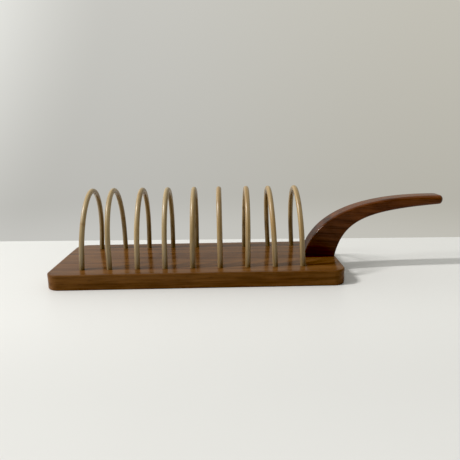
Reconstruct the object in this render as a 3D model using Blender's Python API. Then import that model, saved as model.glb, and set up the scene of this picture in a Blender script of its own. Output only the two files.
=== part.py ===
"""Toast rack: a teak base board, nine bent cane hoops in drilled holes, and a swept teak handle.

Metres, +Z up. The origin is the centre of the board's underside, the rack stands on z = 0,
and +X runs along the board towards the handle. Slices of toast stand across the board,
in the gaps between the hoops. The hoops are glued in, and two countersunk wood screws
hold the handle from below.
"""

import math

import bmesh
import bpy
from mathutils import Vector

# Cane hoops, counted from the end away from the handle
CANE_DIAMETER = 0.005
HOOP_PITCH = 0.026
HOOP_SPREAD = 0.0758  # between the centre lines of the two legs
HOOP_RISE = 0.0688  # from the board's top to the centre line at the crown
LEG_RISE = 0.0173  # straight part of each leg above the board
HOOP_LEANS = (3.8, -0.5, 1.5, 0.7, 0.85, -0.4, 0.5, -3.0, -2.9)  # degrees, + towards +X

# Handle
HANDLE_FOOT = 0.0315
HANDLE_REACH = 0.1050  # of the tip, past the board's end
HANDLE_RISE = 0.0598  # of the tip's upper side, above the board's top
HANDLE_TIP_DEPTH = 0.0087
HANDLE_TIP_RADIUS = 0.0038
HANDLE_FOOT_WIDTH = 0.0190
HANDLE_TIP_WIDTH = 0.0200
HANDLE_EDGE_RADIUS = 0.0030

# Base board
BOARD_THICKNESS = 0.0145
BOARD_CORNER_RADIUS = 0.012
BOARD_EDGE_RADIUS = 0.0012
HOLE_FLOOR = 0.005  # wood left under each hoop's hole
END_MARGIN = 0.030  # from the board's end to the first hoop
SIDE_MARGIN = 0.0171  # from the board's side to the centre of a leg
HANDLE_INSET = 0.0013  # from the board's other end to the handle's foot
HANDLE_HOOP_SPACE = 0.0027  # from the last hoop's leg to the handle's foot

# The sweep of the handle's two sides, as cubic curves from the foot to the tip. Each pair
# of numbers is a control point: its share of the run to the tip, and its share of the rise.
UPPER_SWEEP = ((0.058, 0.547), (0.292, 1.022))
LOWER_SWEEP = ((0.078, 0.727), (0.295, 0.893))

# Wood screws that hold the handle
SCREW_BITE = 0.0135  # how far a screw goes into the handle
SCREW_SHANK_DIAMETER = 0.0042
SCREW_HEAD_DIAMETER = 0.0082
SCREW_HEAD_EDGE = 0.0004  # straight rim below the countersunk cone
SCREW_POINT = 0.006  # length of the tapered point
SCREW_POINT_DIAMETER = 0.0011  # at its blunt end
SCREW_SLOT_WIDTH = 0.0011
SCREW_SLOT_DEPTH = 0.0012
SCREW_INNER_INSET = 0.0105  # from the foot's inner end
SCREW_OUTER_INSET = 0.0067  # from the foot's outer end

# Clearances
GLUE_GAP = 0.0003  # all round a cane leg in its hole
SEAT_GAP = 0.0003  # between the handle's foot and the board
SCREW_GAP = 0.0003  # all round a screw, and from its head to the underside
END_GAP = 0.0005  # past the end of a leg or a screw

# Fineness of the round shapes
CORNER_STEPS = 8
HOLE_SIDES = 16
SCREW_SIDES = 24
SWEEP_STEPS = 24
TIP_STEPS = 4
ARCH_STEPS = 28

SHARP_ANGLE = math.radians(40)
OVERCUT = 0.002  # how far a cutter stands out of the face it enters

# Sizes that follow from the ones above
HOOP_ROW = HOOP_PITCH * (len(HOOP_LEANS) - 1)
LAST_MARGIN = CANE_DIAMETER / 2 + HANDLE_HOOP_SPACE + HANDLE_FOOT + HANDLE_INSET
BOARD_LENGTH = END_MARGIN + HOOP_ROW + LAST_MARGIN
BOARD_WIDTH = HOOP_SPREAD + 2 * SIDE_MARGIN
HOLE_DEPTH = BOARD_THICKNESS - HOLE_FLOOR
HANDLE_SEAT = BOARD_THICKNESS + SEAT_GAP  # height of the foot's underside
SCREW_END = HANDLE_SEAT + SCREW_BITE


def clear_scene():
    for old in list(bpy.data.objects):
        bpy.data.objects.remove(old)


def make_material(name, colour, roughness, metallic=0.0):
    material = bpy.data.materials.new(name)
    material.use_nodes = True
    shader = material.node_tree.nodes["Principled BSDF"]
    shader.inputs["Base Color"].default_value = (*colour, 1.0)
    shader.inputs["Roughness"].default_value = roughness
    shader.inputs["Metallic"].default_value = metallic
    return material


def add_object(name, data, material):
    obj = bpy.data.objects.new(name, data)
    bpy.context.scene.collection.objects.link(obj)
    if not data.materials:
        data.materials.append(material)
    return obj


def mesh_from(shape, name):
    mesh = bpy.data.meshes.new(name)
    shape.to_mesh(mesh)
    shape.free()
    mesh.shade_smooth()
    mesh.set_sharp_from_angle(angle=SHARP_ANGLE)
    return mesh


def make_helper(obj):
    """Keeps a cutter out of renders and of the finished model."""
    obj.hide_render = True
    obj.display_type = "WIRE"


def cut(obj, cutter):
    boolean = obj.modifiers.new("cut_" + cutter.name, "BOOLEAN")
    boolean.operation = "DIFFERENCE"
    boolean.solver = "EXACT"
    boolean.object = cutter


def arc_points(centre, radius, start, end, steps):
    """Points on an arc in the drawing plane, angles in degrees, both ends included."""
    points = []
    for step in range(steps + 1):
        angle = math.radians(start + (end - start) * step / steps)
        turn = Vector((math.cos(angle), math.sin(angle)))
        points.append(Vector(centre) + radius * turn)
    return points


def cubic_points(start, pull_start, pull_end, end, steps):
    """Points on a cubic curve through its first and last control points."""
    points = []
    for step in range(steps + 1):
        t = step / steps
        s = 1 - t
        point = s**3 * Vector(start) + 3 * s * s * t * Vector(pull_start)
        point += 3 * s * t * t * Vector(pull_end) + t**3 * Vector(end)
        points.append(point)
    return points


def turned_mesh(name, profile, sides):
    """A solid of revolution about Z from (radius, height) pairs, which start and end on the axis."""
    shape = bmesh.new()
    rings = []
    for radius, height in profile:
        if radius == 0:
            rings.append([shape.verts.new((0, 0, height))])
            continue
        ring = []
        for side in range(sides):
            angle = 2 * math.pi * side / sides
            ring.append(shape.verts.new((radius * math.cos(angle), radius * math.sin(angle), height)))
        rings.append(ring)
    for below, above in zip(rings, rings[1:]):
        for side in range(sides):
            after = (side + 1) % sides
            corners = [below[side % len(below)], below[after % len(below)]]
            corners += [above[after % len(above)], above[side % len(above)]]
            shape.faces.new(dict.fromkeys(corners))
    bmesh.ops.recalc_face_normals(shape, faces=shape.faces)
    return mesh_from(shape, name)


def board_outline():
    """The board's plan, a rectangle with round corners, anticlockwise from above."""
    across = BOARD_LENGTH / 2 - BOARD_CORNER_RADIUS
    along = BOARD_WIDTH / 2 - BOARD_CORNER_RADIUS
    centres = ((across, along), (-across, along), (-across, -along), (across, -along))
    outline = []
    for quarter, centre in enumerate(centres):
        start = 90 * quarter
        outline += arc_points(centre, BOARD_CORNER_RADIUS, start, start + 90, CORNER_STEPS)
    return outline


def make_board(teak):
    shape = bmesh.new()
    bottom = shape.faces.new([shape.verts.new((*point, 0)) for point in board_outline()])
    raised = bmesh.ops.extrude_face_region(shape, geom=[bottom])["geom"]
    top = [part for part in raised if isinstance(part, bmesh.types.BMVert)]
    bmesh.ops.translate(shape, vec=(0, 0, BOARD_THICKNESS), verts=top)
    bmesh.ops.recalc_face_normals(shape, faces=shape.faces)
    board = add_object("base_board", mesh_from(shape, "base_board"), teak)
    eased = board.modifiers.new("eased_edges", "BEVEL")
    eased.width = BOARD_EDGE_RADIUS
    eased.segments = 2
    eased.limit_method = "ANGLE"
    eased.angle_limit = math.radians(60)
    return board


def hoop_places():
    """(x, lean in radians) of each hoop."""
    first = -BOARD_LENGTH / 2 + END_MARGIN
    return [(first + HOOP_PITCH * i, math.radians(lean)) for i, lean in enumerate(HOOP_LEANS)]


def place_hoop(obj, place):
    """A hoop leans about the line through its two feet, at the board's top."""
    obj.location = (place[0], 0, BOARD_THICKNESS)
    obj.rotation_euler = (0, place[1], 0)


def hoop_path():
    """The centre line of a hoop as (y, z) from the board's top: leg, half ellipse, leg."""
    half = HOOP_SPREAD / 2
    foot = END_GAP - HOLE_DEPTH
    path = [(-half, foot), (-half, 0)]
    for step in range(ARCH_STEPS + 1):
        angle = math.pi * (1 - step / ARCH_STEPS)
        path.append((half * math.cos(angle), LEG_RISE + (HOOP_RISE - LEG_RISE) * math.sin(angle)))
    return path + [(half, 0), (half, foot)]


def make_hoops(cane):
    path = hoop_path()
    curve = bpy.data.curves.new("hoop", "CURVE")
    curve.dimensions = "3D"
    curve.bevel_depth = CANE_DIAMETER / 2
    curve.bevel_resolution = 4
    curve.use_fill_caps = True
    spline = curve.splines.new("POLY")
    spline.points.add(len(path) - 1)
    for point, (y, z) in zip(spline.points, path):
        point.co = (0, y, z, 1)
    for number, place in enumerate(hoop_places(), start=1):
        place_hoop(add_object(f"hoop_{number}", curve, cane), place)


def drill_hoop_holes(board, teak):
    """Two blind holes for each hoop, sloped as the hoop leans."""
    radius = CANE_DIAMETER / 2 + GLUE_GAP
    profile = ((0, -HOLE_DEPTH), (radius, -HOLE_DEPTH), (radius, OVERCUT), (0, OVERCUT))
    drill = turned_mesh("hoop_drill", profile, HOLE_SIDES)
    pair = bmesh.new()
    for side in (-1, 1):
        before = len(pair.verts)
        pair.from_mesh(drill)
        pair.verts.ensure_lookup_table()
        bmesh.ops.translate(pair, vec=(0, side * HOOP_SPREAD / 2, 0), verts=pair.verts[before:])
    holes = mesh_from(pair, "hoop_holes")
    for number, place in enumerate(hoop_places(), start=1):
        cutter = add_object(f"hoop_holes_{number}", holes, teak)
        place_hoop(cutter, place)
        make_helper(cutter)
        cut(board, cutter)


def handle_ends():
    """x of the foot's inner end, the foot's outer end and the tip."""
    outer = BOARD_LENGTH / 2 - HANDLE_INSET
    return outer - HANDLE_FOOT, outer, BOARD_LENGTH / 2 + HANDLE_REACH


def sweep(foot, tip, pulls):
    """One side of the handle in x and z, from its foot on the board to its tip."""
    run, rise = tip[0] - foot, tip[1]
    (run_1, rise_1), (run_2, rise_2) = pulls
    pull_1 = (foot + run * run_1, rise * rise_1)
    pull_2 = (foot + run * run_2, rise * rise_2)
    return cubic_points((foot, 0), pull_1, pull_2, tip, SWEEP_STEPS)


def handle_outline():
    """The handle's side view, from the foot's outer end out to the tip and back to the foot."""
    inner, outer, tip = handle_ends()
    round_x = tip - HANDLE_TIP_RADIUS
    low = HANDLE_RISE - HANDLE_TIP_DEPTH
    lower = sweep(outer, (round_x, low), LOWER_SWEEP)
    upper = sweep(inner, (round_x, HANDLE_RISE), UPPER_SWEEP)
    low_corner = (round_x, low + HANDLE_TIP_RADIUS)
    high_corner = (round_x, HANDLE_RISE - HANDLE_TIP_RADIUS)
    end = arc_points(low_corner, HANDLE_TIP_RADIUS, -90, 0, TIP_STEPS)
    end += arc_points(high_corner, HANDLE_TIP_RADIUS, 0, 90, TIP_STEPS)
    return lower[:-1] + end + upper[-2::-1]


def handle_half_width(x):
    """The handle narrows evenly from its foot to its tip."""
    inner, _, tip = handle_ends()
    share = (x - inner) / (tip - inner)
    return (HANDLE_FOOT_WIDTH + (HANDLE_TIP_WIDTH - HANDLE_FOOT_WIDTH) * share) / 2


def make_handle(teak):
    shape = bmesh.new()
    sides = []
    for side in (-1, 1):
        row = []
        for x, z in handle_outline():
            row.append(shape.verts.new((x, side * handle_half_width(x), HANDLE_SEAT + z)))
        sides.append(row)
        shape.faces.new(row)
    for i in range(len(sides[0])):
        after = (i + 1) % len(sides[0])
        shape.faces.new((sides[0][i], sides[0][after], sides[1][after], sides[1][i]))
    bmesh.ops.recalc_face_normals(shape, faces=shape.faces)
    arrises = [edge for row in sides for edge in outline_edges(row)]
    bmesh.ops.bevel(
        shape, geom=arrises, offset=HANDLE_EDGE_RADIUS, segments=3, profile=0.5,
        affect="EDGES", clamp_overlap=True,
    )
    return add_object("handle", mesh_from(shape, "handle"), teak)


def outline_edges(row):
    """The edges between neighbours in a row, without the one that closes it across the foot."""
    edges = []
    for first, second in zip(row, row[1:]):
        edges += [edge for edge in first.link_edges if edge.other_vert(first) is second]
    return edges


def screw_profile(gap):
    """(radius, height) of a countersunk screw, head down, or of its hole when gap isn't 0."""
    shank = SCREW_SHANK_DIAMETER / 2 + gap
    head = SCREW_HEAD_DIAMETER / 2 + gap
    bottom = -OVERCUT if gap else SCREW_GAP
    rim = SCREW_GAP + SCREW_HEAD_EDGE
    end = SCREW_END + (END_GAP if gap else 0)
    point = SCREW_POINT_DIAMETER / 2 + gap
    return (
        (0, bottom), (head, bottom), (head, rim), (shank, rim + head - shank),
        (shank, end - SCREW_POINT), (point, end), (0, end),
    )


def screw_places():
    inner, outer, _ = handle_ends()
    return inner + SCREW_INNER_INSET, outer - SCREW_OUTER_INSET


def make_screws(board, handle, brass):
    slot = bmesh.new()
    bmesh.ops.create_cube(slot, size=1)
    size = (2 * SCREW_HEAD_DIAMETER, SCREW_SLOT_WIDTH, 2 * SCREW_SLOT_DEPTH)
    bmesh.ops.scale(slot, vec=size, verts=slot.verts)
    bmesh.ops.translate(slot, vec=(0, 0, SCREW_GAP), verts=slot.verts)
    slot = mesh_from(slot, "screw_slot")
    body = turned_mesh("handle_screw", screw_profile(0), SCREW_SIDES)
    bore = turned_mesh("screw_bore", screw_profile(SCREW_GAP), SCREW_SIDES)
    for number, x in enumerate(screw_places(), start=1):
        screw = add_object(f"handle_screw_{number}", body, brass)
        slot_cutter = add_object(f"screw_slot_{number}", slot, brass)
        bore_cutter = add_object(f"screw_bore_{number}", bore, brass)
        for obj in (screw, slot_cutter, bore_cutter):
            obj.location = (x, 0, 0)
        for cutter in (slot_cutter, bore_cutter):
            make_helper(cutter)
        cut(screw, slot_cutter)
        cut(board, bore_cutter)
        cut(handle, bore_cutter)


def main():
    clear_scene()
    teak = make_material("teak", (0.165, 0.082, 0.040), 0.45)
    dark_teak = make_material("dark_teak", (0.110, 0.042, 0.018), 0.40)
    cane = make_material("cane", (0.560, 0.385, 0.190), 0.35)
    brass = make_material("screw_brass", (0.700, 0.520, 0.260), 0.35, metallic=1.0)
    board = make_board(teak)
    make_hoops(cane)
    drill_hoop_holes(board, teak)
    handle = make_handle(dark_teak)
    make_screws(board, handle, brass)


main()
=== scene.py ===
# Toast rack: a teak board, nine bent cane hoops, a swept handle and its two wood screws.
# Metres throughout, in the frame's own axes: +X runs to the handle, +Z is up.

import math

import bmesh
import bpy
import numpy as np
from mathutils import Matrix, Vector
from mathutils.noise import noise


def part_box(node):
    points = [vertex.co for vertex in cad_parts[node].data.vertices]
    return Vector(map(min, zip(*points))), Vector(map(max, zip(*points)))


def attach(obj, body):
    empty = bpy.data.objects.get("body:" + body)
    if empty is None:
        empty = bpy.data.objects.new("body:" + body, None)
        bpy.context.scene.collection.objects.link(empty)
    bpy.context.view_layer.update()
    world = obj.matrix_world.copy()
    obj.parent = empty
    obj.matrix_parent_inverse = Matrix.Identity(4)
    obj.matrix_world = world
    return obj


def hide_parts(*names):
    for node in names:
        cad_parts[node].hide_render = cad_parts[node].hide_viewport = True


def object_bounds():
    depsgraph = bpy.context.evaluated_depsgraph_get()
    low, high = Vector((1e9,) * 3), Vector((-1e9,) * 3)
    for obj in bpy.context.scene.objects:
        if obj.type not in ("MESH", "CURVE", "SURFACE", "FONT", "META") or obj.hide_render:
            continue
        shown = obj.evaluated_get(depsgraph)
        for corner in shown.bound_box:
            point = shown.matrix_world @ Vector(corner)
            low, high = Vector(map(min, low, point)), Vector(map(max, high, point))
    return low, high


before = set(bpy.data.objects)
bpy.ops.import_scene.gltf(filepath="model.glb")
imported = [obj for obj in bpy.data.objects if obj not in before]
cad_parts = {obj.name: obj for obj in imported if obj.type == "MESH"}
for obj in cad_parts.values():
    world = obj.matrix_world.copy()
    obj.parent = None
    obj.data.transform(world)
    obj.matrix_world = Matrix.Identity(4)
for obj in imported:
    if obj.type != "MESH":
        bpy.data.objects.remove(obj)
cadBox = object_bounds()
boardLow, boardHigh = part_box("base_board")
handleLow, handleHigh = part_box("handle")
boardTop = boardHigh.z
hoopNames = sorted(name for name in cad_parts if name.startswith("hoop_"))
screwNames = sorted(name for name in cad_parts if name.startswith("handle_screw_"))
print("frame loaded:", len(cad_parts), "nodes,", len(hoopNames), "hoops")


# small helpers for node trees and meshes

def addNode(tree, kind, inputs=None, **settings):
    made = tree.nodes.new(kind)
    for key, value in settings.items():
        setattr(made, key, value)
    for key, value in (inputs or {}).items():
        if isinstance(value, bpy.types.NodeSocket):
            tree.links.new(value, made.inputs[key])
        else:
            made.inputs[key].default_value = value
    return made


def calc(tree, operation, *values, clamp=False):
    inputs = dict(enumerate(values))
    return addNode(tree, "ShaderNodeMath", inputs, operation=operation, use_clamp=clamp).outputs[0]


def remap(tree, value, low, high, toLow=0.0, toHigh=1.0, smooth=True):
    inputs = {"Value": value, "From Min": low, "From Max": high, "To Min": toLow, "To Max": toHigh}
    kind = "SMOOTHSTEP" if smooth else "LINEAR"
    return addNode(tree, "ShaderNodeMapRange", inputs, interpolation_type=kind).outputs["Result"]


def blendColours(tree, share, first, second, mode="MIX"):
    made = addNode(tree, "ShaderNodeMix", data_type="RGBA", blend_type=mode)
    for socket, value in ((made.inputs[0], share), (made.inputs[6], first), (made.inputs[7], second)):
        if isinstance(value, bpy.types.NodeSocket):
            tree.links.new(value, socket)
        else:
            socket.default_value = value if isinstance(value, float) else (*value, 1.0)
    return made.outputs[2]


def stretched(tree, place, scale):   # the same place, in a pattern's own cells per metre
    return addNode(tree, "ShaderNodeMapping", {"Vector": place, "Scale": scale}).outputs[0]


def grains(tree, place, scale, detail=2.0, distortion=0.0):   # soft noise between 0 and 1
    inputs = {"Vector": stretched(tree, place, scale), "Scale": 1.0, "Detail": detail,
              "Distortion": distortion}
    return addNode(tree, "ShaderNodeTexNoise", inputs).outputs[0]


def addPiece(name, mesh):
    piece = bpy.data.objects.new(name, mesh)
    bpy.context.scene.collection.objects.link(piece)
    return piece


def plainMesh(piece):   # the piece as its modifiers leave it, without them
    graph = bpy.context.evaluated_depsgraph_get()
    made = bpy.data.meshes.new_from_object(
        piece.evaluated_get(graph), preserve_all_data_layers=True, depsgraph=graph)
    piece.modifiers.clear()
    piece.data = made
    made.name = piece.name
    return made


def loftMesh(name, rings):   # a closed skin over rings with equal counts
    shape = bmesh.new()
    rows = [[shape.verts.new(point) for point in ring] for ring in rings]
    for below, above in zip(rows, rows[1:]):
        for i in range(len(below)):
            after = (i + 1) % len(below)
            shape.faces.new((below[i], below[after], above[after], above[i]))
    shape.faces.new(rows[0][::-1])
    shape.faces.new(rows[-1])
    bmesh.ops.recalc_face_normals(shape, faces=shape.faces)
    mesh = bpy.data.meshes.new(name)
    shape.to_mesh(mesh)
    shape.free()
    mesh.shade_smooth()
    return mesh


def turnedRings(profile, sides, place):   # rings of a turned solid from (radius, height) pairs
    rings = []
    for radius, height in profile:
        ring = []
        for side in range(sides):
            angle = 2 * math.pi * side / sides
            ring.append(place @ Vector((radius * math.cos(angle), radius * math.sin(angle), height)))
        rings.append(ring)
    return rings


def cutAway(piece, cutters):   # all the cutters at once, none of which meet
    whole = bmesh.new()
    for cutter in cutters:
        whole.from_mesh(cutter)
    mesh = bpy.data.meshes.new("cutters")
    whole.to_mesh(mesh)
    whole.free()
    tool = addPiece("cutters", mesh)
    boolean = piece.modifiers.new("cut", "BOOLEAN")
    boolean.operation = "DIFFERENCE"
    boolean.solver = "EXACT"
    boolean.object = tool
    plainMesh(piece)
    bpy.data.objects.remove(tool)


def evenShading(piece, sharpAngle):   # flats stay flat beside their rounded edges
    piece.data.shade_smooth()
    piece.data.set_sharp_from_angle(angle=math.radians(sharpAngle))
    weighted = piece.modifiers.new("evenShading", "WEIGHTED_NORMAL")
    weighted.keep_sharp = True
    plainMesh(piece)


def storePoints(mesh, name, values):
    mesh.attributes.new(name, "FLOAT", "POINT").data.foreach_set("value", np.array(values, np.float32))


def nodePoints(name):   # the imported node's own points, each once
    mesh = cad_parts[name].data
    points = np.empty(len(mesh.vertices) * 3, np.float32)
    mesh.vertices.foreach_get("co", points)
    return np.unique(points.reshape(-1, 3).round(6), axis=0)


def install(piece, node, finish):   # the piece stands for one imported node
    if piece.data.materials:
        piece.data.materials[0] = finish
    else:
        piece.data.materials.append(finish)
    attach(piece, "root")
    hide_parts(node)


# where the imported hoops, handle and screws stand

reading = {"middle": 0.0001, "inHole": 0.005, "seat": 0.0001}   # how near a point counts as there


def readHoop(name):
    points = nodePoints(name)
    crown = Vector(points[abs(points[:, 1]) < reading["middle"]].mean(axis=0))
    feet = points[points[:, 2] < boardTop - reading["inHole"]]
    foot = Vector(feet.mean(axis=0))
    up = (crown - foot).normalized()
    pivot = foot + up * ((boardTop - foot.z) / up.z)
    return {
        "pivot": Vector((pivot.x, 0, boardTop)), "lean": math.atan2(up.x, up.z),
        "spread": 2 * float(abs(feet[:, 1]).mean()),
        "rise": (crown - pivot).length, "depth": (pivot - foot).length,
    }


def readScrew(name):
    low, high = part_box(name)
    return {"x": (low.x + high.x) / 2, "bottom": low.z, "top": high.z, "head": high.y - low.y}


hoops = [readHoop(name) for name in hoopNames]
screws = [readScrew(name) for name in screwNames]


# camera, light and table

shot = {
    "stand": (0.0255, -0.4565, 0.1462), "yaw": 0.831, "pitch": 12.916, "roll": -0.827,
    "lens": 36.3, "sensor": 36.0,
}


def aimCamera():
    yaw, pitch, roll = (math.radians(shot[key]) for key in ("yaw", "pitch", "roll"))
    level = Vector((math.sin(yaw), math.cos(yaw), 0))
    ahead = level * math.cos(pitch) - Vector((0, 0, math.sin(pitch)))
    right = Vector((math.cos(yaw), -math.sin(yaw), 0))
    up = right.cross(ahead)
    across = right * math.cos(roll) + up * math.sin(roll)
    upright = up * math.cos(roll) - right * math.sin(roll)
    lens = bpy.data.cameras.new("camera")
    lens.lens = shot["lens"]
    lens.sensor_width = shot["sensor"]
    camera = addPiece("camera", lens)
    turn = Matrix((across, upright, -ahead)).transposed().to_4x4()
    camera.matrix_world = Matrix.Translation(shot["stand"]) @ turn
    bpy.context.scene.camera = camera


studio = {
    "keyTravel": (1.08, 0.21, -1.0),   # the way the main light runs
    "keyDistance": 5.2, "keyPower": 212.0, "keySize": (0.18, 1.00),   # a tall, narrow window
    "keyColour": (1.0, 0.98, 0.95),
    "fillTravel": (1.0, 0.47, -0.80), "fillDistance": 3.4, "fillPower": 21.0, "fillSize": (0.42, 0.42),
    "fillColour": (1.0, 0.98, 0.94),   # a small second window
    # the wall behind: its colour from left to right, and its brightness from low to high
    "wallLeft": (0.525, 0.520, 0.488), "wallRight": (0.495, 0.480, 0.423), "wallSpan": (-0.3, 0.5),
    "wallRise": (0.92, 1.11), "wallHeight": (-0.23, 0.24),
    "window": (0.80, 0.82, 0.81), "windowAim": (-0.86, 0.40, 0.33), "windowReach": (0.62, 1.08),
    "floorGlow": 0.09, "floorReach": (-0.14, -0.24),
    # the rest of the room, which only the reflections show
    "roomDim": (0.050, 0.047, 0.042), "roomReach": (0.15, -0.45),
    "ceiling": (0.50, 0.50, 0.48), "ceilingReach": (0.35, 0.8),
    "blackLevel": 0.009,
}


def makeLamps():
    for name in ("key", "fill"):
        lamp = bpy.data.lights.new(name + "Light", "AREA")
        lamp.shape = "RECTANGLE"
        lamp.energy = studio[name + "Power"]
        lamp.size, lamp.size_y = studio[name + "Size"]
        lamp.color = studio[name + "Colour"]
        light = addPiece(name + "Light", lamp)
        travel = Vector(studio[name + "Travel"]).normalized()
        light.location = (cadBox[0] + cadBox[1]) / 2 - travel * studio[name + "Distance"]
        light.rotation_mode = "QUATERNION"
        light.rotation_quaternion = travel.to_track_quat("-Z", "Y")


def makeRoom():
    world = bpy.data.worlds.new("room")
    bpy.context.scene.world = world
    world.use_nodes = True
    tree = world.node_tree
    way = addNode(tree, "ShaderNodeTexCoord").outputs["Generated"]
    parts = addNode(tree, "ShaderNodeSeparateXYZ", {0: way}).outputs
    sideways = remap(tree, parts[0], *studio["wallSpan"])
    wall = blendColours(tree, sideways, studio["wallLeft"], studio["wallRight"])
    aim = Vector(studio["windowAim"]).normalized()
    facing = addNode(tree, "ShaderNodeVectorMath", {0: way, 1: aim}, operation="DOT_PRODUCT")
    glow = remap(tree, facing.outputs["Value"], *studio["windowReach"])
    wall = blendColours(tree, glow, wall, studio["window"], mode="ADD")
    low = calc(tree, "MULTIPLY", remap(tree, parts[2], *studio["floorReach"]), studio["floorGlow"])
    wall = blendColours(tree, low, wall, (1.0, 1.0, 1.0), mode="ADD")
    rising = addNode(tree, "ShaderNodeVectorMath", {0: wall}, operation="SCALE")
    height = remap(tree, parts[2], *studio["wallHeight"], *studio["wallRise"], smooth=False)
    tree.links.new(height, rising.inputs["Scale"])
    wall = rising.outputs[0]
    lit = blendColours(tree, remap(tree, parts[1], *studio["roomReach"]), wall, studio["roomDim"])
    lit = blendColours(tree, remap(tree, parts[2], *studio["ceilingReach"]), lit, studio["ceiling"])
    seen = addNode(tree, "ShaderNodeLightPath").outputs["Is Camera Ray"]
    colour = blendColours(tree, seen, lit, wall)   # the backdrop is pale whichever way it is seen
    tree.links.new(colour, tree.nodes["Background"].inputs["Color"])


table = {
    "backEdge": 0.1297, "backSlope": -0.035, "reach": 1.6, "thickness": 0.03, "edge": 0.0012,
    "colour": (0.780, 0.785, 0.775), "roughness": 0.45, "specular": 0.20,
    "mottle": 0.97, "mottleCells": (6, 6, 6),
    "nearShadeTone": 0.91, "nearShadeReach": (-0.24, -0.10),   # painted shade: the near part is a little darker, where the light falls off
}


def makeTable():
    reach = table["reach"]
    corners = [(-reach, -reach), (reach, -reach)]
    corners += [(x, table["backEdge"] + table["backSlope"] * x) for x in (reach, -reach)]
    rings = [[(x, y, z) for x, y in corners] for z in (-table["thickness"], 0.0)]
    slab = addPiece("table", loftMesh("table", rings))
    bevel = slab.modifiers.new("easedEdge", "BEVEL")
    bevel.width = table["edge"]
    bevel.segments = 3
    finish = bpy.data.materials.new("paleTable")
    finish.use_nodes = True
    tree = finish.node_tree
    place = addNode(tree, "ShaderNodeTexCoord").outputs["Object"]
    mottle = grains(tree, place, table["mottleCells"], 3.0)
    shade = [part * table["mottle"] for part in table["colour"]]
    toned = addNode(tree, "ShaderNodeVectorMath",
                    {0: blendColours(tree, mottle, table["colour"], shade)}, operation="SCALE")
    # painted shade: darker towards the near edge
    back = addNode(tree, "ShaderNodeSeparateXYZ", {0: place}).outputs[1]
    tree.links.new(remap(tree, back, *table["nearShadeReach"], table["nearShadeTone"], 1.0), toned.inputs["Scale"])
    shader = tree.nodes["Principled BSDF"]
    tree.links.new(toned.outputs[0], shader.inputs["Base Color"])
    shader.inputs["Specular IOR Level"].default_value = table["specular"]
    shader.inputs["Roughness"].default_value = table["roughness"]
    slab.data.materials.append(finish)


def setTones():   # plain colours, with the small lift out of the blacks taken off
    view = bpy.context.scene.view_settings
    view.view_transform = "Standard"
    view.use_curve_mapping = True
    view.curve_mapping.black_level = (studio["blackLevel"],) * 3
    view.curve_mapping.update()


aimCamera()
makeLamps()
makeRoom()
makeTable()
setTones()
print("camera, light and table ready")


# finishes

woodGrain = {   # cells per metre along, across and through the wood
    "streaks": (4, 130, 130), "fibres": (16, 1100, 1100), "threads": (40, 420, 420),
    "mottle": (22, 40, 40), "pores": (110, 3600, 3600), "wear": (60, 90, 90),
    # how much of each pattern's range shows, from none to full
    "ringRise": (0.35, 0.93), "ringFall": (1.0, 0.95), "streakReach": (0.34, 0.66),
    "fibreReach": (0.30, 0.70), "mottleReach": (0.40, 0.72), "wearReach": (0.35, 0.70),
    "threadTone": (0.86, 1.12), "poreDepth": 0.55, "poreBlend": 0.05,
    "glossReach": (0.25, 0.75), "glossSpread": (-0.04, 0.07), "poreGloss": 0.20,
    "bumpHeight": 0.00012, "fibreHeight": 0.5,
}


def lateWood(tree, wood, look):   # (bent grain, dark share of each growth ring round the tree's heart)
    drift = addNode(tree, "ShaderNodeTexNoise",
                    {"Vector": stretched(tree, wood, look["driftCells"]), "Scale": 1.0, "Detail": 2.0})
    shift = addNode(tree, "ShaderNodeVectorMath",
                    {0: drift.outputs["Color"], 1: (0.5, 0.5, 0.5)}, operation="SUBTRACT").outputs[0]
    bend = (0.0, look["drift"], look["drift"])
    bent = addNode(tree, "ShaderNodeVectorMath", {0: shift, 1: bend, 2: wood},
                   operation="MULTIPLY_ADD").outputs[0]
    heart = addNode(tree, "ShaderNodeMapping",
                    {"Vector": bent, "Location": look["heart"], "Scale": (0.0, 1.0, 1.0)}).outputs[0]
    radius = addNode(tree, "ShaderNodeVectorMath", {0: heart}, operation="LENGTH").outputs["Value"]
    rings = calc(tree, "FRACT", calc(tree, "MULTIPLY", radius, 1 / look["ringPitch"]))
    rise, fall = (remap(tree, rings, *woodGrain[end]) for end in ("ringRise", "ringFall"))
    return bent, calc(tree, "MULTIPLY", rise, fall)


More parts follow.
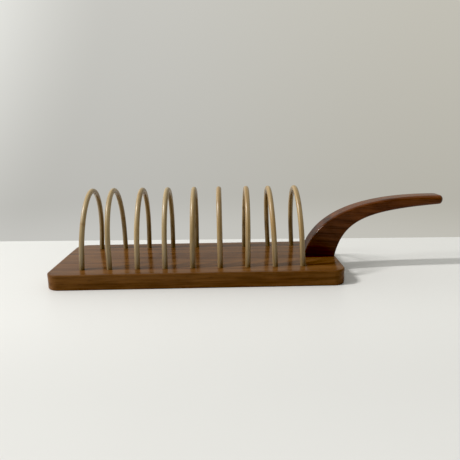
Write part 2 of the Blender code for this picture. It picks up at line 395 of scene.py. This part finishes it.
def oiledWood(name, look):   # grain along X, growth rings, fibres, pores and worn arrises
    finish = bpy.data.materials.new(name)
    finish.use_nodes = True
    tree = finish.node_tree
    shader = tree.nodes["Principled BSDF"]
    here = addNode(tree, "ShaderNodeTexCoord").outputs["Object"]
    turn = tuple(math.radians(angle) for angle in look["grainTurn"])
    wood = addNode(tree, "ShaderNodeMapping", {"Vector": here, "Rotation": turn}).outputs[0]
    bent, late = lateWood(tree, wood, look)
    streaks = grains(tree, bent, woodGrain["streaks"], 3.0)
    fibres = grains(tree, wood, woodGrain["fibres"], 4.0)
    threads = grains(tree, wood, woodGrain["threads"], 3.0)
    mottle = grains(tree, wood, woodGrain["mottle"], 2.0, 0.6)
    pores = grains(tree, wood, woodGrain["pores"], 1.0)
    pores = remap(tree, pores, look["poreEdge"], look["poreEdge"] + woodGrain["poreBlend"])

    pale = remap(tree, streaks, *woodGrain["streakReach"])
    colour = blendColours(tree, pale, look["deep"], look["pale"])
    colour = blendColours(tree, calc(tree, "MULTIPLY", late, look["ringDepth"]), colour, look["line"])
    warm = remap(tree, mottle, *woodGrain["mottleReach"], 0.0, look["mottle"])
    colour = blendColours(tree, warm, colour, look["glow"])
    fibreReach = woodGrain["fibreReach"]
    dark = remap(tree, fibres, *fibreReach, 1.0 - look["fibreDepth"], 1.0 + look["fibreDepth"])
    dark = calc(tree, "MULTIPLY", dark, remap(tree, threads, *fibreReach, *woodGrain["threadTone"]))
    # painted shade: the wood darkens towards the foot, where the handle meets the board
    level = addNode(tree, "ShaderNodeSeparateXYZ", {0: here}).outputs[2]
    dark = calc(tree, "MULTIPLY", dark, remap(tree, level, *look["footShadeReach"], look["footShadeTone"], 1.0))
    scaled = addNode(tree, "ShaderNodeVectorMath", {0: colour}, operation="SCALE")
    tree.links.new(dark, scaled.inputs["Scale"])
    pitted = calc(tree, "MULTIPLY", pores, woodGrain["poreDepth"])
    colour = blendColours(tree, pitted, scaled.outputs[0], look["pore"])
    worn = addNode(tree, "ShaderNodeAttribute", attribute_name="wear").outputs["Fac"]
    patchy = remap(tree, grains(tree, wood, woodGrain["wear"]), *woodGrain["wearReach"])
    rubbed = calc(tree, "MULTIPLY", worn, patchy)
    colour = blendColours(tree, calc(tree, "MULTIPLY", rubbed, look["wear"]), colour, look["worn"])
    tree.links.new(colour, shader.inputs["Base Color"])

    spread = [look["roughness"] + step for step in woodGrain["glossSpread"]]
    gloss = remap(tree, fibres, *woodGrain["glossReach"], *spread)
    gloss = calc(tree, "ADD", gloss, calc(tree, "MULTIPLY", pores, woodGrain["poreGloss"]))
    gloss = calc(tree, "ADD", gloss, calc(tree, "MULTIPLY", worn, look["rubbed"]))
    tree.links.new(gloss, shader.inputs["Roughness"])
    raised = calc(tree, "MULTIPLY", fibres, woodGrain["fibreHeight"])
    height = calc(tree, "MULTIPLY_ADD", pores, -1.0, raised)
    bump = addNode(tree, "ShaderNodeBump", {"Height": height, "Strength": look["bump"],
                                            "Distance": woodGrain["bumpHeight"]})
    tree.links.new(bump.outputs[0], shader.inputs["Normal"])
    shader.inputs["Specular IOR Level"].default_value = look["specular"]
    return finish


boardWood = {
    "grainTurn": (0.0, 0.6, 1.4), "heart": (0.0, 0.030, 0.047), "ringPitch": 0.0085,
    "driftCells": (3.0, 9.0, 9.0), "drift": 0.016,
    "pale": (0.156, 0.070, 0.022), "deep": (0.102, 0.041, 0.012), "line": (0.050, 0.019, 0.007),
    "glow": (0.184, 0.082, 0.023), "pore": (0.022, 0.008, 0.003), "worn": (0.200, 0.104, 0.038),
    "ringDepth": 0.42, "fibreDepth": 0.15, "poreEdge": 0.66, "mottle": 0.30,
    "wear": 0.25, "rubbed": 0.30,   # how pale and how much rougher the arrises are
    "footShadeReach": (0.0, 0.001), "footShadeTone": 1.0,   # no painted shade: even from top to bottom
    "roughness": 0.13, "specular": 0.07, "bump": 0.10,
}
handleWood = {
    "grainTurn": (0.0, -4.0, 0.5), "heart": (0.0, 0.020, 0.010), "ringPitch": 0.0075,
    "driftCells": (6.0, 14.0, 14.0), "drift": 0.012,
    "pale": (0.112, 0.037, 0.012), "deep": (0.066, 0.020, 0.007), "line": (0.028, 0.009, 0.004),
    "glow": (0.190, 0.060, 0.015), "pore": (0.012, 0.004, 0.002), "worn": (0.140, 0.064, 0.028),
    "ringDepth": 0.45, "fibreDepth": 0.16, "poreEdge": 0.66, "mottle": 0.62,
    "wear": 0.08, "rubbed": -0.09,   # hands have polished these arrises
    "footShadeReach": (0.016, 0.058), "footShadeTone": 0.52,   # painted shade: darker towards the foot, near the board
    "roughness": 0.29, "specular": 0.19, "bump": 0.20,
}


caneFinish = {
    "pale": (0.430, 0.325, 0.178), "deep": (0.285, 0.200, 0.095), "amber": (0.360, 0.225, 0.090),
    "joint": (0.250, 0.135, 0.050), "pore": (0.170, 0.105, 0.045),   # the joint is where leaves grew
    "plainTint": (0.98, 1.0, 0.98), "warmTint": (1.07, 0.98, 0.82),   # from the palest cane to the ripest
    "insideShade": 0.96, "foot": 0.64, "footShadeReach": 0.048,   # painted shade: darker on the bend's inner side and down at the wood
    "fibres": (1500, 1500, 26), "streaks": (420, 420, 9), "patches": (60, 60, 28),   # cells per metre
    "pores": (3800, 3800, 150),
    "streakReach": (0.35, 0.65), "patchReach": (0.45, 0.75), "fibreReach": (0.30, 0.70),
    "poreReach": (0.68, 0.74), "insideShadeReach": (0.2, 0.8),
    "fibreTone": (0.86, 1.12), "ripeTone": (1.06, 0.92), "jointDepth": 0.45, "poreDepth": 0.35,
    "glossReach": (0.25, 0.75), "glossSpread": (-0.05, 0.08),
    "roughness": 0.36, "bump": 0.30, "bumpHeight": 0.00008, "varnish": 0.15, "varnishRoughness": 0.20,
}


def polishedCane():   # reads caneSpace, (across, across, along) in metres, stored on each hoop
    look = caneFinish
    finish = bpy.data.materials.new("polishedCane")
    finish.use_nodes = True
    tree = finish.node_tree
    shader = tree.nodes["Principled BSDF"]
    cane = addNode(tree, "ShaderNodeAttribute", attribute_name="caneSpace").outputs["Vector"]
    tone = addNode(tree, "ShaderNodeAttribute", attribute_name="caneTone").outputs["Fac"]
    joint = addNode(tree, "ShaderNodeAttribute", attribute_name="caneJoint").outputs["Fac"]
    fibres = grains(tree, cane, look["fibres"], 3.0)
    streaks = grains(tree, cane, look["streaks"], 2.0)
    patches = grains(tree, cane, look["patches"], 2.0)
    pores = remap(tree, grains(tree, cane, look["pores"], 1.0), *look["poreReach"])
    colour = blendColours(tree, remap(tree, streaks, *look["streakReach"]), look["deep"], look["pale"])
    warm = calc(tree, "MULTIPLY", remap(tree, patches, *look["patchReach"]), tone, clamp=True)
    colour = blendColours(tree, warm, colour, look["amber"])
    tint = blendColours(tree, tone, look["plainTint"], look["warmTint"])
    colour = blendColours(tree, 1.0, colour, tint, mode="MULTIPLY")
    shade = calc(tree, "MULTIPLY", remap(tree, fibres, *look["fibreReach"], *look["fibreTone"]),
                 remap(tree, tone, 0.0, 1.0, *look["ripeTone"], smooth=False))
    # painted shade: the side of the cane that faces into the bend is darkened
    inner = addNode(tree, "ShaderNodeAttribute", attribute_name="caneInside").outputs["Fac"]
    shade = calc(tree, "MULTIPLY", shade, remap(tree, inner, *look["insideShadeReach"], 1.0, look["insideShade"]))
    # painted shade: the cane darkens down towards the board
    here = addNode(tree, "ShaderNodeTexCoord").outputs["Object"]
    level = addNode(tree, "ShaderNodeSeparateXYZ", {0: here}).outputs[2]
    footShade = remap(tree, level, boardTop, boardTop + look["footShadeReach"], look["foot"], 1.0)
    shade = calc(tree, "MULTIPLY", shade, footShade)
    scaled = addNode(tree, "ShaderNodeVectorMath", {0: colour}, operation="SCALE")
    tree.links.new(shade, scaled.inputs["Scale"])
    scar = calc(tree, "MULTIPLY", joint, look["jointDepth"])
    colour = blendColours(tree, scar, scaled.outputs[0], look["joint"])
    colour = blendColours(tree, calc(tree, "MULTIPLY", pores, look["poreDepth"]), colour, look["pore"])
    tree.links.new(colour, shader.inputs["Base Color"])
    spread = [look["roughness"] + step for step in look["glossSpread"]]
    gloss = remap(tree, fibres, *look["glossReach"], *spread)
    tree.links.new(gloss, shader.inputs["Roughness"])
    bump = addNode(tree, "ShaderNodeBump", {"Height": fibres, "Strength": look["bump"],
                                            "Distance": look["bumpHeight"]})
    tree.links.new(bump.outputs[0], shader.inputs["Normal"])
    shader.inputs["Coat Weight"].default_value = look["varnish"]
    shader.inputs["Coat Roughness"].default_value = look["varnishRoughness"]
    return finish


brassFinish = {
    "bright": (0.62, 0.46, 0.22), "dull": (0.33, 0.22, 0.10), "roughness": 0.34, "dullRoughness": 0.54,
    "tarnish": (500, 500, 500), "tarnishReach": (0.38, 0.68), "scratches": (9000, 900, 900),
    "bump": 0.2, "bumpHeight": 0.00003,
}


def agedBrass():
    look = brassFinish
    finish = bpy.data.materials.new("agedBrass")
    finish.use_nodes = True
    tree = finish.node_tree
    shader = tree.nodes["Principled BSDF"]
    here = addNode(tree, "ShaderNodeTexCoord").outputs["Object"]
    tarnish = remap(tree, grains(tree, here, look["tarnish"], 4.0), *look["tarnishReach"])
    colour = blendColours(tree, tarnish, look["bright"], look["dull"])
    tree.links.new(colour, shader.inputs["Base Color"])
    gloss = remap(tree, tarnish, 0.0, 1.0, look["roughness"], look["dullRoughness"])
    tree.links.new(gloss, shader.inputs["Roughness"])
    scratches = grains(tree, here, look["scratches"], 2.0)
    bump = addNode(tree, "ShaderNodeBump", {"Height": scratches, "Strength": look["bump"],
                                            "Distance": look["bumpHeight"]})
    tree.links.new(bump.outputs[0], shader.inputs["Normal"])
    shader.inputs["Metallic"].default_value = 1.0
    return finish


boardTeak = oiledWood("oiledTeak", boardWood)
handleTeak = oiledWood("darkTeak", handleWood)
cane = polishedCane()
brass = agedBrass()
print("finishes mixed")


# base board

board = {
    "cornerRadius": 0.012, "cornerSteps": 20, "runStep": 0.006,
    "easing": 0.0012, "easingWander": 0.28, "easingSteps": 5, "wanderCells": 28, "wanderSeed": 3.1,
    "sideBand": 0.004, "topBands": (0.003, 0.009), "wearReach": 0.0035,
    "holeSlack": 0.00012, "holeSides": 40, "overcut": 0.002,
    "boreSlack": 0.0003, "borePoint": 0.0009, "sharpAngle": 32,
}


def boardOutline():   # (point, outward direction) round the plan, anticlockwise from above
    radius = board["cornerRadius"]
    inner = Vector((boardHigh.x - radius, boardHigh.y - radius))
    outline = []
    for quarter in range(4):
        signs = ((1, 1), (-1, 1), (-1, -1), (1, -1))[quarter]
        centre = Vector((inner.x * signs[0], inner.y * signs[1]))
        for step in range(board["cornerSteps"] + 1):
            angle = math.radians(90 * (quarter + step / board["cornerSteps"]))
            out = Vector((math.cos(angle), math.sin(angle)))
            outline.append((centre + radius * out, out))
        run = 2 * (inner.x if quarter % 2 == 0 else inner.y)
        ahead = Vector((-out.y, out.x))
        steps = round(run / board["runStep"])
        start = outline[-1][0]
        outline += [(start + ahead * run * step / steps, out) for step in range(1, steps)]
    return outline


def edgeProfile(easing):   # (inset, height) from the underside, up the side and over the top
    steps = board["easingSteps"]
    turns = [math.pi / 2 * step / steps for step in range(steps + 1)]
    arc = [(easing * (1 - math.sin(turn)), easing * (1 - math.cos(turn))) for turn in turns]
    profile = arc + [(0, board["sideBand"]), (0, boardTop / 2), (0, boardTop - board["sideBand"])]
    profile += [(inset, boardTop - rise) for inset, rise in reversed(arc)]
    profile += [(easing + band, boardTop) for band in board["topBands"]]
    return profile


def holeCutters():
    cutters = []
    for hoop in hoops:
        radius = hoopLook["thickness"] / 2 + board["holeSlack"]
        deep = hoop["depth"] + board["boreSlack"]
        for side in (-1, 1):
            foot = Vector((0, side * hoop["spread"] / 2, 0))
            place = Matrix.Translation(hoop["pivot"]) @ Matrix.Rotation(hoop["lean"], 4, "Y")
            place = place @ Matrix.Translation(foot)
            profile = ((radius, -deep), (radius, board["overcut"]))
            cutters.append(loftMesh("hole", turnedRings(profile, board["holeSides"], place)))
    return cutters


def boreCutters():   # countersunk from below, through the board and into the handle's foot
    cutters = []
    for screw in screws:
        head = screw["head"] / 2 + board["boreSlack"]
        shank = screwLook["shank"] / 2 + board["boreSlack"]
        rim = screw["bottom"] + screwLook["rim"]
        point = screw["top"] - screwLook["point"]
        profile = ((head, -board["overcut"]), (head, rim), (shank, rim + head - shank),
                   (shank, point), (board["borePoint"], screw["top"] + board["boreSlack"]))
        place = Matrix.Translation((screw["x"], 0, 0))
        cutters.append(loftMesh("bore", turnedRings(profile, board["holeSides"], place)))
    return cutters


def boardWear(point):   # 1 on an arris, 0 on the flats
    radius = board["cornerRadius"]
    past = (abs(point.x) - boardHigh.x + radius, abs(point.y) - boardHigh.y + radius)
    outside = math.hypot(max(past[0], 0), max(past[1], 0)) + min(max(past), 0)
    inset = radius - outside
    depth = min(point.z, boardTop - point.z)
    return max(0.0, 1 - max(inset, depth) / board["wearReach"])


def makeBoard():
    columns = []
    for point, out in boardOutline():
        wander = noise(Vector((*(point * board["wanderCells"]), board["wanderSeed"])))
        easing = board["easing"] * (1 + board["easingWander"] * wander)
        columns.append([(*(point - out * inset), height) for inset, height in edgeProfile(easing)])
    piece = addPiece("teakBoard", loftMesh("teakBoard", list(zip(*columns))))
    cutAway(piece, holeCutters() + boreCutters())
    evenShading(piece, board["sharpAngle"])
    storePoints(piece.data, "wear", [boardWear(vertex.co) for vertex in piece.data.vertices])
    install(piece, "base_board", boardTeak)
    print("board eased, drilled and oiled:", len(piece.data.polygons), "faces")


# cane hoops

hoopLook = {
    "thickness": 0.005, "straightLeg": 0.0173, "legShare": 0.14, "rings": 141, "sides": 32,
    "wander": 0.016, "wanderCells": 45.0, "shrink": 0.004,   # the cane's own unevenness
    "jointSwell": 0.020, "jointWidth": 0.0016, "sharpAngle": 50,
    "seedStep": (0.37, 0.61),   # moves the pattern of the next cane along, so that no two look alike
    # how far up each cane its joint lies, from the front foot, and how warm its tone is
    "joints": (0.052, 0.150, 0.083, 0.176, 0.128, 0.071, 0.139, 0.165, 0.068),
    "tones": (0.30, 0.25, 0.40, 0.20, 0.45, 0.80, 0.60, 0.70, 0.75),
}


def newTree(name, inputs):
    tree = bpy.data.node_groups.new(name, "GeometryNodeTree")
    tree.interface.new_socket("Geometry", in_out="OUTPUT", socket_type="NodeSocketGeometry")
    for label, kind in inputs:
        tree.interface.new_socket(label, in_out="INPUT", socket_type="NodeSocket" + kind)
    return tree, addNode(tree, "NodeGroupInput").outputs, addNode(tree, "NodeGroupOutput")


def storeNamed(tree, geometry, name, value, kind="FLOAT"):
    stored = addNode(tree, "GeometryNodeStoreNamedAttribute", {"Geometry": geometry, "Name": name},
                     data_type=kind)
    tree.links.new(value, stored.inputs["Value"])
    return stored.outputs[0]


def readNamed(tree, name, kind="FLOAT"):
    return addNode(tree, "GeometryNodeInputNamedAttribute", {"Name": name}, data_type=kind).outputs[0]


def centreLine(tree, given):   # two straight legs and half an ellipse over them
    count, leg = hoopLook["rings"], hoopLook["legShare"]
    line = addNode(tree, "GeometryNodeMeshLine", {"Count": count})
    curve = addNode(tree, "GeometryNodeMeshToCurve", {"Mesh": line.outputs[0]})
    share = calc(tree, "DIVIDE", addNode(tree, "GeometryNodeInputIndex").outputs[0], count - 1.0)
    angle = remap(tree, share, leg, 1 - leg, 0.0, math.pi, smooth=False)
    halfSpread = calc(tree, "MULTIPLY", given["Spread"], -0.5)
    across = calc(tree, "MULTIPLY", calc(tree, "COSINE", angle), halfSpread)
    arch = calc(tree, "SUBTRACT", given["Rise"], given["Straight Leg"])
    high = calc(tree, "MULTIPLY_ADD", calc(tree, "SINE", angle), arch, given["Straight Leg"])
    nearEnd = calc(tree, "MINIMUM", share, calc(tree, "SUBTRACT", 1.0, share))
    down = remap(tree, nearEnd, 0.0, leg, 1.0, 0.0, smooth=False)
    legLength = calc(tree, "ADD", given["Straight Leg"], given["Depth"])
    high = calc(tree, "SUBTRACT", high, calc(tree, "MULTIPLY", down, legLength))
    spot = addNode(tree, "ShaderNodeCombineXYZ", {"Y": across, "Z": high}).outputs[0]
    return addNode(tree, "GeometryNodeSetPosition",
                   {"Geometry": curve.outputs[0], "Position": spot}).outputs[0]


def sweptCane(tree, given, line):   # the round section, with a slow wander and a swelling at the joint
    run = addNode(tree, "GeometryNodeSplineParameter").outputs["Length"]
    offset = calc(tree, "DIVIDE", calc(tree, "SUBTRACT", run, given["Joint At"]), hoopLook["jointWidth"])
    joint = calc(tree, "EXPONENT", calc(tree, "MULTIPLY", calc(tree, "POWER", offset, 2.0), -1.0))
    wobble = addNode(tree, "ShaderNodeTexNoise", {
        "W": calc(tree, "MULTIPLY_ADD", run, hoopLook["wanderCells"], given["Seed"]),
        "Scale": 1.0, "Detail": 1.0,
    }, noise_dimensions="1D").outputs[0]
    least = 1 - hoopLook["wander"] - hoopLook["shrink"]
    radius = calc(tree, "MULTIPLY_ADD", wobble, hoopLook["wander"], least)
    radius = calc(tree, "MULTIPLY_ADD", joint, hoopLook["jointSwell"], radius)
    line = storeNamed(tree, line, "caneRun", run)
    line = storeNamed(tree, line, "caneJoint", joint)
    circle = addNode(tree, "GeometryNodeCurvePrimitiveCircle", {
        "Resolution": hoopLook["sides"], "Radius": calc(tree, "MULTIPLY", given["Thickness"], 0.5)})
    place = addNode(tree, "GeometryNodeInputPosition").outputs[0]
    ring = storeNamed(tree, circle.outputs[0], "caneRound", place, "FLOAT_VECTOR")
    return addNode(tree, "GeometryNodeCurveToMesh", {
        "Curve": line, "Profile Curve": ring, "Scale": radius, "Fill Caps": True}).outputs[0]


def notedCane(tree, given, shape):   # what the finish reads: a place on the cane, its tone, its inner side
    around = readNamed(tree, "caneRound", "FLOAT_VECTOR")
    along = readNamed(tree, "caneRun")
    parts = addNode(tree, "ShaderNodeSeparateXYZ", {0: around}).outputs
    acrossStep, alongStep = hoopLook["seedStep"]
    spaced = addNode(tree, "ShaderNodeCombineXYZ", {
        "X": calc(tree, "MULTIPLY_ADD", given["Seed"], acrossStep, parts[0]), "Y": parts[1],
        "Z": calc(tree, "MULTIPLY_ADD", given["Seed"], alongStep, along)}).outputs[0]
    shape = storeNamed(tree, shape, "caneSpace", spaced, "FLOAT_VECTOR")
    shape = storeNamed(tree, shape, "caneTone", given["Tone"])
    inward = calc(tree, "ADD", calc(tree, "DIVIDE", parts[1], given["Thickness"]), 0.5)
    return storeNamed(tree, shape, "caneInside", inward)


def caneTree():   # one bent cane, stood on the board
    tree, given, result = newTree("bentCane", (
        ("Thickness", "Float"), ("Spread", "Float"), ("Rise", "Float"), ("Straight Leg", "Float"),
        ("Depth", "Float"), ("Lean", "Float"), ("Place", "Vector"), ("Joint At", "Float"),
        ("Tone", "Float"), ("Seed", "Float"), ("Finish", "Material"),
    ))
    shape = sweptCane(tree, given, centreLine(tree, given))
    smooth = addNode(tree, "GeometryNodeSetShadeSmooth", {"Geometry": notedCane(tree, given, shape)})
    turn = addNode(tree, "ShaderNodeCombineXYZ", {"Y": given["Lean"]}).outputs[0]
    stood = addNode(tree, "GeometryNodeTransform", {
        "Geometry": smooth.outputs[0], "Translation": given["Place"], "Rotation": turn})
    real = addNode(tree, "GeometryNodeRealizeInstances", {"Geometry": stood.outputs[0]})
    dressed = addNode(tree, "GeometryNodeSetMaterial",
                      {"Geometry": real.outputs[0], "Material": given["Finish"]})
    tree.links.new(dressed.outputs[0], result.inputs[0])
    return tree


def growPiece(name, tree, values):   # runs a tree with its named inputs and keeps the plain mesh
    piece = addPiece(name, bpy.data.meshes.new(name))
    modifier = piece.modifiers.new("shape", "NODES")
    modifier.node_group = tree
    for item in tree.interface.items_tree:
        if item.in_out == "INPUT":
            modifier[item.identifier] = values[item.name]
    plainMesh(piece)
    return piece


def makeHoops():
    tree = caneTree()
    for number, (name, hoop) in enumerate(zip(hoopNames, hoops)):
        piece = growPiece("cane" + name.capitalize(), tree, {
            "Thickness": hoopLook["thickness"], "Spread": hoop["spread"], "Rise": hoop["rise"],
            "Straight Leg": hoopLook["straightLeg"], "Depth": hoop["depth"], "Lean": hoop["lean"],
            "Place": hoop["pivot"], "Joint At": hoopLook["joints"][number],
            "Tone": hoopLook["tones"][number], "Seed": 1.0 + number, "Finish": cane,
        })
        piece.data.set_sharp_from_angle(angle=math.radians(hoopLook["sharpAngle"]))
        install(piece, name, cane)
    print("hoops bent:", len(hoops), "of", len(piece.data.polygons), "faces")


# handle

handle = {
    "rise": 0.0598, "tipDepth": 0.0087, "tipRadius": 0.0038, "tipPlanRadius": 0.0052,
    "footWidth": 0.0190, "tipWidth": 0.0200,
    "upperSweep": ((0.058, 0.547), (0.292, 1.022)), "lowerSweep": ((0.078, 0.727), (0.295, 0.893)),
    "upperRound": (0.0014, 0.0036), "lowerRound": (0.0014, 0.0030),   # at the foot, at the tip
    "roundLimits": (0.49, 0.98),   # of the section's height and half width
    "sections": 84, "tipSections": 12, "roundSteps": 8, "sharpAngle": 40,
}


def cubicPoint(start, pullOut, pullIn, end, t):
    s = 1 - t
    return s**3 * start + 3 * s * s * t * pullOut + 3 * s * t * t * pullIn + t**3 * end


def handleWear(count):   # 1 on the four long arrises, 0 on the faces between
    steps = handle["roundSteps"]
    ring = [math.sin(math.pi * step / steps) for step in range(steps + 1)] * 4
    return ring * count


def handleSide(footX, end, pulls, t):   # a point (x, height) on the upper or lower sweep
    start = Vector((footX, 0))
    run = Vector((end.x - footX, end.y))
    pullOut, pullIn = (start + Vector((run.x * pull[0], run.y * pull[1])) for pull in pulls)
    return cubicPoint(start, pullOut, pullIn, end, t)


def handleHalfWidth(x, inner, tip):
    share = (x - inner) / (tip - inner)
    width = handle["footWidth"] + (handle["tipWidth"] - handle["footWidth"]) * share
    radius = handle["tipPlanRadius"]
    past = max(0.0, x - (tip - radius))
    return width / 2 - radius + math.sqrt(max(0.0, radius**2 - past**2))


def handleSection(upper, lower, share, inner, tip):   # a rounded oblong standing across the handle
    rise = upper - lower
    height = rise.length
    up = rise / height
    middle = (upper + lower) / 2
    heightLimit, widthLimit = handle["roundLimits"]
    ring = []
    for quarter in range(4):
        side = 1 if quarter in (0, 1) else -1
        rounds = handle["upperRound"] if quarter in (1, 2) else handle["lowerRound"]
        radius = rounds[0] + (rounds[1] - rounds[0]) * share
        radius = min(radius, height * heightLimit, handleHalfWidth(middle.x, inner, tip) * widthLimit)
        level = height - radius if quarter in (1, 2) else radius
        for step in range(handle["roundSteps"] + 1):
            angle = math.radians(90 * (quarter - 1 + step / handle["roundSteps"]))
            spot = lower + up * (level + radius * math.sin(angle))
            across = side * (handleHalfWidth(spot.x, inner, tip) - radius) + radius * math.cos(angle)
            ring.append((spot.x, across, handleLow.z + spot.y))
    return ring


def makeHandle():
    points = nodePoints("handle")
    inner, tip = handleLow.x, handleHigh.x
    outer = float(points[points[:, 2] < handleLow.z + reading["seat"]][:, 0].max())
    radius = handle["tipRadius"]
    low = handle["rise"] - handle["tipDepth"]
    upperEnd = Vector((tip - radius, handle["rise"]))
    lowerEnd = Vector((tip - radius, low))
    rings = []
    for step in range(handle["sections"] + 1):
        t = step / handle["sections"]
        upper = handleSide(inner, upperEnd, handle["upperSweep"], t)
        lower = handleSide(outer, lowerEnd, handle["lowerSweep"], t)
        rings.append(handleSection(upper, lower, t, inner, tip))
    for step in range(1, handle["tipSections"] + 1):
        turn = math.pi / 2 * step / handle["tipSections"]
        x = tip - radius + radius * math.sin(turn)
        drop = radius * (1 - math.cos(turn))
        upper = Vector((x, handle["rise"] - drop))
        lower = Vector((x, low + drop))
        rings.append(handleSection(upper, lower, 1, inner, tip))
    piece = addPiece("teakHandle", loftMesh("teakHandle", rings))
    storePoints(piece.data, "wear", handleWear(len(rings)))
    cutAway(piece, boreCutters())
    evenShading(piece, handle["sharpAngle"])
    install(piece, "handle", handleTeak)
    print("handle shaped:", len(piece.data.polygons), "faces")


# wood screws, heads down in the underside

screwLook = {
    "shank": 0.0042, "core": 0.0029, "pitch": 0.0018, "rim": 0.0004, "point": 0.006, "tip": 0.0011,
    "slotWidth": 0.0011, "slotDepth": 0.0012, "slotReach": 1.2, "overcut": 0.001, "easing": 0.0002,
    "plain": 0.007, "runIn": 0.001, "crestSharpness": 2.2,   # where the thread begins, and its shape
    "sides": 48, "threadStep": 0.00015, "sharpAngle": 35,
}


def screwRadius(height, screw, angle):   # the shank, then a thread that runs out at the point
    start = screw["bottom"] + screwLook["rim"] + (screw["head"] - screwLook["shank"]) / 2
    threadFrom = start + screwLook["plain"]
    taper = min(1.0, max(0.0, (screw["top"] - height) / screwLook["point"]))
    outer = (screwLook["tip"] + (screwLook["shank"] - screwLook["tip"]) * taper) / 2
    core = outer * screwLook["core"] / screwLook["shank"]
    turn = (height - threadFrom) / screwLook["pitch"] - angle / (2 * math.pi)
    crest = max(0.0, 1 - abs(2 * (turn % 1) - 1) * screwLook["crestSharpness"])
    fade = min(1.0, max(0.0, (height - threadFrom) / screwLook["runIn"]))
    return outer + (core + (outer - core) * crest - outer) * fade


def makeScrew(name, screw):
    sides = screwLook["sides"]
    bottom = screw["bottom"]
    head = screw["head"] / 2
    shank = screwLook["shank"] / 2
    neck = bottom + screwLook["rim"] + head - shank
    easing = screwLook["easing"]
    place = Matrix.Translation((screw["x"], 0, 0))
    profile = ((head - easing, bottom), (head, bottom + easing), (head, bottom + screwLook["rim"]),
               (shank, neck))
    rings = turnedRings(profile, sides, place)
    steps = round((screw["top"] - neck) / screwLook["threadStep"])
    for step in range(1, steps + 1):
        height = neck + (screw["top"] - neck) * step / steps
        ring = []
        for side in range(sides):
            angle = 2 * math.pi * side / sides
            radius = screwRadius(height, screw, angle)
            ring.append((screw["x"] + radius * math.cos(angle), radius * math.sin(angle), height))
        rings.append(ring)
    piece = addPiece(name, loftMesh(name, rings))
    half = screwLook["slotWidth"] / 2
    reach = head * screwLook["slotReach"]
    corners = [(screw["x"] + x * reach, y * half) for x, y in ((-1, -1), (1, -1), (1, 1), (-1, 1))]
    levels = (bottom - screwLook["overcut"], bottom + screwLook["slotDepth"])
    cutAway(piece, [loftMesh("slot", [[(x, y, z) for x, y in corners] for z in levels])])
    piece.data.set_sharp_from_angle(angle=math.radians(screwLook["sharpAngle"]))
    return piece


def makeScrews():
    for name, screw in zip(screwNames, screws):
        piece = makeScrew("wood" + name.capitalize(), screw)
        install(piece, name, brass)
    print("screws turned:", len(piece.data.polygons), "faces each")


makeBoard()
makeHoops()
makeHandle()
makeScrews()
